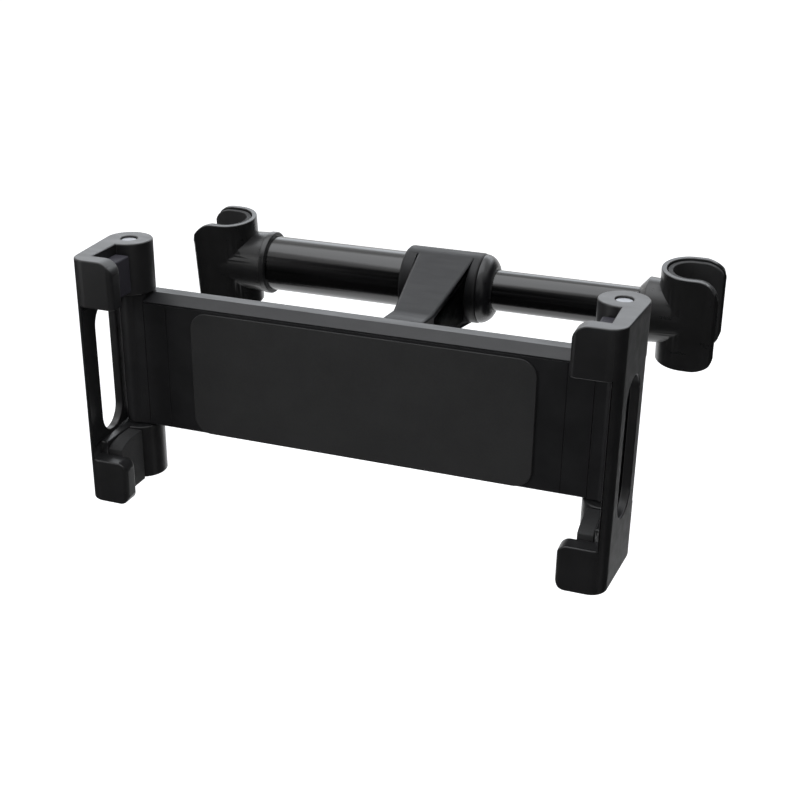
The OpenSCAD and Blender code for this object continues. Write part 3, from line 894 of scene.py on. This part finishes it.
def screw_tree(head_sides: int = 40, shank_sides: int = 24) -> NodeTree:
    """Tree that sets a cross-recess screw on each point, with its head facing +Z.

    Args:
        head_sides: faces around the head.
        shank_sides: faces around the shank.

    Returns:
        The tree.
    """
    # Shares of the head's radius and height
    recess_length, recess_width, recess_depth = 1.25, 0.26, 1.2
    tree = NodeTree(
        "set_screws",
        {
            "Head radius": ("NodeSocketFloat", 2 * MM),
            "Head height": ("NodeSocketFloat", 1 * MM),
            "Shank radius": ("NodeSocketFloat", 1 * MM),
            "Shank length": ("NodeSocketFloat", 6 * MM),
            "Material": ("NodeSocketMaterial", None),
        },
    )
    entry = tree.source.outputs
    head_radius, head_height = entry["Head radius"], entry["Head height"]
    shank_radius, shank_length = entry["Shank radius"], entry["Shank length"]
    head = tree.add(
        "GeometryNodeMeshCylinder", None, Vertices=head_sides, Radius=head_radius, Depth=head_height
    )
    head_place = tree.vector(0.0, 0.0, tree.scaled(head_height, -0.5))
    head_down = tree.add(
        "GeometryNodeTransform", None, Geometry=head.outputs[0], Translation=head_place
    )
    cross = tree.add("GeometryNodeJoinGeometry")
    for reach in ((recess_length, recess_width), (recess_width, recess_length)):
        sides = [tree.scaled(head_radius, share) for share in reach]
        depth = tree.scaled(head_height, recess_depth)
        arm = tree.add("GeometryNodeMeshCube", None, Size=tree.vector(*sides, depth))
        tree.link(arm.outputs[0], cross.inputs[0])
    cut = tree.add("GeometryNodeMeshBoolean", {"operation": "DIFFERENCE", "solver": "EXACT"})
    tree.link(head_down.outputs[0], cut.inputs["Mesh 1"])
    tree.link(cross.outputs[0], cut.inputs["Mesh 2"])
    shank = tree.add(
        "GeometryNodeMeshCylinder",
        None,
        Vertices=shank_sides,
        Radius=shank_radius,
        Depth=shank_length,
    )
    under = tree.add("ShaderNodeMath", {"operation": "SUBTRACT"})
    tree.link(tree.scaled(shank_length, -0.5), under.inputs[0])
    tree.link(head_height, under.inputs[1])
    shank_place = tree.vector(0.0, 0.0, under.outputs[0])
    shank_down = tree.add(
        "GeometryNodeTransform", None, Geometry=shank.outputs[0], Translation=shank_place
    )
    screw = tree.add("GeometryNodeJoinGeometry")
    tree.link(cut.outputs[0], screw.inputs[0])
    tree.link(shank_down.outputs[0], screw.inputs[0])
    points = tree.add("GeometryNodeMeshToPoints", None, Mesh=entry["Geometry"])
    spread = tree.add(
        "GeometryNodeInstanceOnPoints", None, Points=points.outputs[0], Instance=screw.outputs[0]
    )
    tree.close(spread.outputs[0])
    return tree


def point_cloud(name: str, places: Iterable[Sequence[float]]) -> bpy.types.Object:
    """A mesh of loose points for a tree to work on.

    Args:
        name: the object's name.
        places: the points.

    Returns:
        The object.
    """
    mesh = bpy.data.meshes.new(name)
    mesh.from_pydata([Vector(place) for place in places], [], [])
    return new_object(name, mesh)


# Sub-assemblies


@dataclass
class ClampFrame:
    """The tilted frame in which the clamp is built, from the ball's middle."""

    ball: Point = (84 * MM, -64 * MM, -2 * MM)
    tilt: float = 7.5
    stud: Point = (0.0, 21 * MM, -2.5 * MM)
    middle: float = 0.75 * MM

    def matrix(self) -> Matrix:
        """The transform from the clamp's frame to the part's frame."""
        turn = Matrix.Rotation(math.radians(-self.tilt), 4, "X")
        return Matrix.Translation(self.ball) @ turn @ Matrix.Translation(-Vector(self.stud))


CLAMP = ClampFrame()


@dataclass
class CoilSpring:
    """A spring wound by Geometry Nodes along the X axis of its frame."""

    node: str
    start: Point
    length: float
    coil_radius: float
    wire_radius: float
    turns: float
    within: Matrix = field(default_factory=Matrix)
    follows: str = ""
    keep: float = 1.0

    def build(self, tree: NodeTree) -> None:
        """Winds the spring and puts it in its place.

        Args:
            tree: the tree that winds it.
        """
        piece = point_cloud(f"{self.node}_coil", [(0, 0, 0)])
        tree.run(
            piece,
            {
                "Coil radius": self.coil_radius,
                "Wire radius": self.wire_radius,
                "Length": self.length - 2 * self.wire_radius,
                "Turns": self.turns,
                "Material": PAINTS.get(Look.SPRING),
            },
        )
        lay_down = Matrix.Rotation(math.radians(90), 4, "Y")
        offset = Matrix.Translation(Vector(self.start) + Vector((self.wire_radius, 0, 0)))
        piece.data.transform(self.within @ offset @ lay_down)
        stand_in(piece, self.node)
        if self.follows:
            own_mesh(piece)


@dataclass(frozen=True)
class ScrewSize:
    """Sizes of a screw."""

    head_radius: float
    head_height: float
    shank_radius: float
    shank_length: float


@dataclass
class ScrewSet:
    """Equal screws whose heads face +Y of the clamp's frame."""

    node: str
    places: Sequence[Plan]
    face_y: float
    size: ScrewSize

    def build(self, tree: NodeTree) -> None:
        """Sets the screws in their holes.

        Args:
            tree: the tree that makes them.
        """
        piece = point_cloud(f"{self.node}_crosshead", [(x, -z, 0) for x, z in self.places])
        tree.run(
            piece,
            {
                "Head radius": self.size.head_radius,
                "Head height": self.size.head_height,
                "Shank radius": self.size.shank_radius,
                "Shank length": self.size.shank_length,
                "Material": PAINTS.get(Look.STEEL),
            },
        )
        face_back = Matrix.Rotation(math.radians(-90), 4, "X")
        piece.data.transform(CLAMP.matrix() @ Matrix.Translation((0, self.face_y, 0)) @ face_back)
        stand_in(piece, self.node)


@dataclass
class HeadrestBar:
    """The telescopic bar with its clips, liners and inner pieces."""

    tube_edge: Rounding = Rounding(0.25 * MM)
    clip_edge: Rounding = Rounding(0.3 * MM, steps=3, angle=50.0, clamp=False)
    liner_edge: Rounding = Rounding(0.3 * MM, angle=25.0, clamp=False)
    spring_start: float = 27.4 * MM
    spring_length: float = 114.5 * MM
    spring_radius: float = 4.9 * MM
    spring_wire: float = 0.5 * MM
    spring_turns: float = 16.0
    spring_keep: float = 0.597

    def build(self, coils: NodeTree) -> None:
        """Builds and dresses the bar.

        Args:
            coils: the tree that winds springs.
        """
        for tube in ("outer_tube", "inner_tube"):
            soften(tube, Look.TUBE, self.tube_edge)
        for side in ("left", "right"):
            soften(f"{side}_clip", Look.CLIP, self.clip_edge)
            soften(f"{side}_clip_liner", Look.RUBBER, self.liner_edge)
        soften("guide_bush", Look.NOSE, self.tube_edge)
        paint_node("slide_collar", Look.ACETAL)
        paint_node("saddle_screw", Look.STEEL)
        CoilSpring(
            "bar_spring",
            start=(self.spring_start, 0.0, 0.0),
            length=self.spring_length,
            coil_radius=self.spring_radius,
            wire_radius=self.spring_wire,
            turns=self.spring_turns,
            follows="bar_extend",
            keep=self.spring_keep,
        ).build(coils)


@dataclass
class ReachArm:
    """The arm with its ball socket and lock nut."""

    arm_edge: Rounding = Rounding(1.1 * MM, steps=3, angle=25.0, clamp=False)
    nut_edge: Rounding = Rounding(0.35 * MM)

    def build(self) -> None:
        """Builds and dresses the arm."""
        soften("arm", Look.ARM, self.arm_edge)
        soften("lock_nut", Look.BODY, self.nut_edge)
        paint_node("pressure_cup", Look.ACETAL)
        paint_node("friction_liner", Look.RUBBER)
        paint_node("ball_stud", Look.BODY)


@dataclass
class ClampHousing:
    """The housing with its pad, gear, springs and screws."""

    cover_edge: Rounding = Rounding(0.3 * MM)
    pad_edge: Rounding = Rounding(0.25 * MM)
    spring_y: float = 5.1 * MM
    spring_z: float = 14 * MM
    spring_far: float = 50 * MM
    spring_near: float = 17 * MM
    spring_radius: float = 1.3 * MM
    spring_wire: float = 0.3 * MM
    spring_turns: float = 36.0
    cover_screw: ScrewSize = ScrewSize(2.2 * MM, 1.4 * MM, 1.1 * MM, 8.2 * MM)
    cover_screw_y: float = 7.6 * MM
    screw_x: float = 62 * MM
    screw_z: float = 16 * MM
    stud_screw: ScrewSize = ScrewSize(1.4 * MM, 0.8 * MM, 0.8 * MM, 3.6 * MM)
    stud_screw_y: float = 8.9 * MM
    stud_ring: float = 6 * MM
    stud_turns: tuple[float, ...] = (45.0, 135.0, 225.0, 315.0)

    def build(self, coils: NodeTree, screws: NodeTree) -> None:
        """Builds and dresses the housing.

        Args:
            coils: the tree that winds springs.
            screws: the tree that makes screws.
        """
        soften("front_cover", Look.BEVEL, self.cover_edge)
        soften("back_cover", Look.BODY, self.cover_edge)
        soften("front_pad", Look.RUBBER, self.pad_edge)
        paint_node("pinion", Look.ACETAL)
        paint_node("pinion_axle", Look.STEEL)
        self.add_springs(coils)
        self.add_screws(screws)

    def add_springs(self, coils: NodeTree) -> None:
        """Winds the two springs that close the jaws.

        Args:
            coils: the tree that winds springs.
        """
        length = self.spring_far + self.spring_near
        for node, start, side in (
            ("left_spring", -self.spring_near, 1),
            ("right_spring", -self.spring_far, -1),
        ):
            place = (start, self.spring_y, CLAMP.middle + side * self.spring_z)
            CoilSpring(
                node,
                start=place,
                length=length,
                coil_radius=self.spring_radius,
                wire_radius=self.spring_wire,
                turns=self.spring_turns,
                within=CLAMP.matrix(),
            ).build(coils)

    def add_screws(self, screws: NodeTree) -> None:
        """Sets the housing's screws and the stud's screws.

        Args:
            screws: the tree that makes screws.
        """
        across = (-self.screw_x, self.screw_x)
        heights = (CLAMP.middle - self.screw_z, CLAMP.middle + self.screw_z)
        corners = [(x, z) for x in across for z in heights]
        ScrewSet("housing_screws", corners, self.cover_screw_y, self.cover_screw).build(screws)
        turns = [math.radians(turn) for turn in self.stud_turns]
        middle, radius = CLAMP.stud[2], self.stud_ring
        ring = [(radius * math.cos(turn), middle + radius * math.sin(turn)) for turn in turns]
        ScrewSet("stud_screws", ring, self.stud_screw_y, self.stud_screw).build(screws)


class Side(Enum):
    """The two sides of the clamp."""

    LEFT = "left"
    RIGHT = "right"


@dataclass
class FoldingJaw:
    """A jaw with its slider, pin and rubber blocks."""

    side: Side
    jaw_edge: Rounding = Rounding(0.45 * MM, steps=3, angle=25.0, clamp=False)
    slider_edge: Rounding = Rounding(0.3 * MM)
    block_edge: Rounding = Rounding(0.35 * MM)
    pin_x: float = 76 * MM
    front_y: float = -26 * MM
    lip_back_y: float = -19.9 * MM
    boss_r: float = 7.2 * MM
    wall_t: float = 2.6 * MM
    splay: float = math.radians(5.0)
    upper_step: tuple[float, float] = (22.3 * MM, 24.5 * MM)
    lower_step: tuple[float, float] = (-25 * MM, -20.7 * MM)

    def steps(self) -> list[bpy.types.Object]:
        """Pieces that cut the steps beside the lips down to the lips' height.

        Returns:
            The cutting pieces.
        """
        outward = 1.0 if self.side is Side.RIGHT else -1.0
        place = CLAMP.matrix() @ Matrix.Translation((outward * self.pin_x, 0.0, 0.0))
        wall_x = (self.boss_r - self.wall_t) / math.cos(self.splay)
        lean = math.tan(self.splay)
        corners = (
            (0.0, self.lip_back_y),
            (0.0, self.front_y),
            (wall_x + lean * self.front_y, self.front_y),
            (wall_x + lean * self.lip_back_y, self.lip_back_y),
        )
        outline = [(outward * x, y) for x, y in corners]
        heights = {"upper_step": self.upper_step, "lower_step": self.lower_step}
        return [prism(name, outline, low, high, place) for name, (low, high) in heights.items()]

    def build(self) -> None:
        """Builds and dresses the jaw."""
        name = self.side.value
        soften(f"{name}_jaw", Look.BODY, self.jaw_edge, self.steps())
        soften(f"{name}_slider", Look.BEVEL, self.slider_edge)
        soften(f"{name}_jaw_pin", Look.PIN, self.slider_edge)
        soften(f"{name}_upper_block", Look.BLOCK, self.block_edge)
        soften(f"{name}_lower_block", Look.RUBBER, self.block_edge)


# Studio


@dataclass(frozen=True)
class Softbox:
    """A rectangular lamp aimed at a point."""

    name: str
    place: Point
    size: Plan
    power: float
    colour: Colour = (1.0, 1.0, 1.0)
    aim: Point = (84 * MM, -40 * MM, 0.0)

    def build(self) -> None:
        """Adds the lamp to the scene."""
        lamp = bpy.data.lights.new(self.name, "AREA")
        lamp.shape = "RECTANGLE"
        lamp.size, lamp.size_y = self.size
        lamp.energy = self.power
        lamp.color = self.colour
        holder = bpy.data.objects.new(self.name, lamp)
        holder.location = self.place
        aim = Vector(self.aim) - Vector(self.place)
        holder.rotation_euler = aim.to_track_quat("-Z", "Y").to_euler()
        bpy.context.scene.collection.objects.link(holder)


SOFTBOXES = (
    Softbox("back_softbox", (0.0, 1.25, 0.5), (1.9, 0.5), power=5.5, colour=(0.87, 0.93, 1.0)),
    Softbox("top_softbox", (0.0, 0.1, 1.0), (1.2, 1.0), power=7.0, colour=(0.95, 0.97, 1.0)),
    Softbox("left_softbox", (-1.1, -0.95, 0.35), (0.9, 1.2), power=6.5),
    Softbox("right_softbox", (0.75, -1.2, 0.5), (1.7, 1.3), power=4.0),
)


@dataclass
class Studio:
    """Plain pale floor and backdrop, soft lamps and the camera of the photograph."""

    camera_place: Point = (213.42 * MM, -391.554 * MM, 195.754 * MM)
    azimuth: float = 20.868
    elevation: float = 30.475
    roll: float = -2.118
    focal_px: float = 1287.9
    frame_px: float = 800.0
    sensor: float = 36.0
    clip_start: float = 10 * MM
    floor_z: float = -0.5
    backdrop_y: float = 2.6
    half_width: float = 3.0
    front_y: float = -0.3
    backdrop_top: float = 3.0
    cove_radius: float = 0.6
    cove_steps: int = 12
    stage_paint: Colour = (0.8, 0.8, 0.8)
    stage_roughness: float = 0.9
    stage_glow: Colour = (0.93, 0.93, 0.93)
    world_grey: Colour = (0.08, 0.08, 0.08)
    cloth_paint: Colour = (0.01, 0.01, 0.01)
    cloth_roughness: float = 0.95
    right_flag: tuple[Plan, Plan] = ((0.36, -0.15), (0.36, 0.75))
    left_flag: tuple[Plan, Plan] = ((-0.14, -0.22), (-0.72, 0.52))
    flag_rise: float = 0.01
    right_flag_top: float = 0.16
    left_flag_top: float = 0.02
    booth_depth: float = 2.2
    booth_top: float = 3.0

    def build(self) -> None:
        """Builds the whole studio."""
        self.add_stage()
        self.add_flag("right_flag", self.right_flag, self.right_flag_top)
        self.add_flag("left_flag", self.left_flag, self.left_flag_top)
        self.add_booth()
        self.add_world()
        for softbox in SOFTBOXES:
            softbox.build()
        self.add_camera()
        scene = bpy.context.scene
        scene.view_settings.view_transform = "Standard"

    def white_stage(self) -> bpy.types.Material:
        """Near white for the camera and for reflections, and pale paint for light and shadow.

        Returns:
            The material.
        """
        shader = Shader("pale_stage")
        glow = shader.blend(shader.seen_rays(), (0.0, 0.0, 0.0), self.stage_glow)
        return shader.finish(
            Base_Color=self.stage_paint,
            Roughness=self.stage_roughness,
            Emission_Color=glow,
            Emission_Strength=1.0,
        )

    def add_stage(self) -> None:
        """Adds the floor and the backdrop, joined by a cove."""
        radius = self.cove_radius
        profile = [(self.front_y, self.floor_z)]
        for step in range(self.cove_steps + 1):
            turn = math.pi / 2 * step / self.cove_steps
            y = self.backdrop_y - radius + radius * math.sin(turn)
            z = self.floor_z + radius - radius * math.cos(turn)
            profile.append((y, z))
        profile.append((self.backdrop_y, self.backdrop_top))
        points = [(x, y, z) for y, z in profile for x in (-self.half_width, self.half_width)]
        faces = [(2 * i, 2 * i + 1, 2 * i + 3, 2 * i + 2) for i in range(len(profile) - 1)]
        mesh = bpy.data.meshes.new("floor_and_backdrop")
        mesh.from_pydata(points, [], faces)
        mesh.materials.append(self.white_stage())
        for face in mesh.polygons:
            face.use_smooth = True
        new_object("floor_and_backdrop", mesh)

    def add_flag(self, name: str, ends: Sequence[Plan], top: float) -> None:
        """Adds a dark flag beside the part, out of the picture, which keeps its side faces dark.

        Args:
            name: the flag's name.
            ends: the ends of the flag's foot on the floor.
            top: height of its top edge.
        """
        foot = self.floor_z + self.flag_rise
        corners = [(*end, z) for end in ends for z in (foot, top)]
        self.hang_cloth(name, corners, [(0, 1, 3, 2)])

    def hang_cloth(
        self, name: str, corners: Sequence[Point], faces: Sequence[tuple[int, ...]]
    ) -> None:
        """Adds black cloth that the camera does not see.

        Args:
            name: the cloth's name.
            corners: its corners.
            faces: the corners of each of its faces.
        """
        mesh = bpy.data.meshes.new(name)
        mesh.from_pydata(corners, [], faces)
        shader = Shader(f"{name}_cloth")
        black = shader.finish(Base_Color=self.cloth_paint, Roughness=self.cloth_roughness)
        mesh.materials.append(black)
        cloth = new_object(name, mesh)
        cloth.visible_camera = False

    def add_booth(self) -> None:
        """Adds the black cloth in front of the stage, on the floor and on three sides."""
        near = self.front_y - self.booth_depth
        foot = [
            (-self.half_width, self.front_y),
            (-self.half_width, near),
            (self.half_width, near),
            (self.half_width, self.front_y),
        ]
        corners = [(*corner, z) for z in (self.floor_z, self.booth_top) for corner in foot]
        floor = (0, 1, 2, 3)
        walls = [(0, 4, 5, 1), (1, 5, 6, 2), (2, 6, 7, 3)]
        self.hang_cloth("front_booth", corners, [floor, *walls])

    def add_world(self) -> None:
        """Adds a surround that lights the part as plain grey and that is seen near white."""
        world = bpy.data.worlds.new("surround")
        bpy.context.scene.world = world
        world.use_nodes = True
        nodes = NodeSet(world.node_tree)
        background = world.node_tree.nodes["Background"]
        colour = nodes.blend(nodes.seen_rays(), self.world_grey, self.stage_glow)
        nodes.feed(background.inputs["Color"], colour)
        background.inputs["Strength"].default_value = 1.0

    def add_camera(self) -> None:
        """Adds the camera where the photograph was taken from."""
        lens = bpy.data.cameras.new("photo_camera")
        lens.sensor_width = self.sensor
        lens.sensor_fit = "HORIZONTAL"
        lens.lens = self.focal_px / self.frame_px * self.sensor
        lens.clip_start = self.clip_start
        holder = bpy.data.objects.new("photo_camera", lens)
        turn, rise, lean = (math.radians(a) for a in (self.azimuth, self.elevation, self.roll))
        level = Vector((math.cos(turn), math.sin(turn), 0.0))
        ahead = Vector((-math.sin(turn), math.cos(turn), 0.0)) * math.cos(rise)
        ahead.z = -math.sin(rise)
        upright = level.cross(ahead)
        right = level * math.cos(lean) + upright * math.sin(lean)
        up = upright * math.cos(lean) - level * math.sin(lean)
        matrix = Matrix((right, up, -ahead)).transposed().to_4x4()
        matrix.translation = Vector(self.camera_place)
        holder.matrix_world = matrix
        bpy.context.scene.collection.objects.link(holder)
        bpy.context.scene.camera = holder


def write_sizes() -> None:
    """Updates the scene's view layer."""
    bpy.context.view_layer.update()


def main() -> None:
    """Builds the studio and every sub-assembly in turn."""
    logging.basicConfig(level=logging.INFO, format="%(name)s: %(message)s")
    coils = coil_tree()
    screws = screw_tree()
    Studio().build()
    HeadrestBar().build(coils)
    ReachArm().build()
    ClampHousing().build(coils, screws)
    for side in Side:
        FoldingJaw(side).build()
    write_sizes()
    log.info("all pieces are in place")


if __name__ == "__main__":
    main()
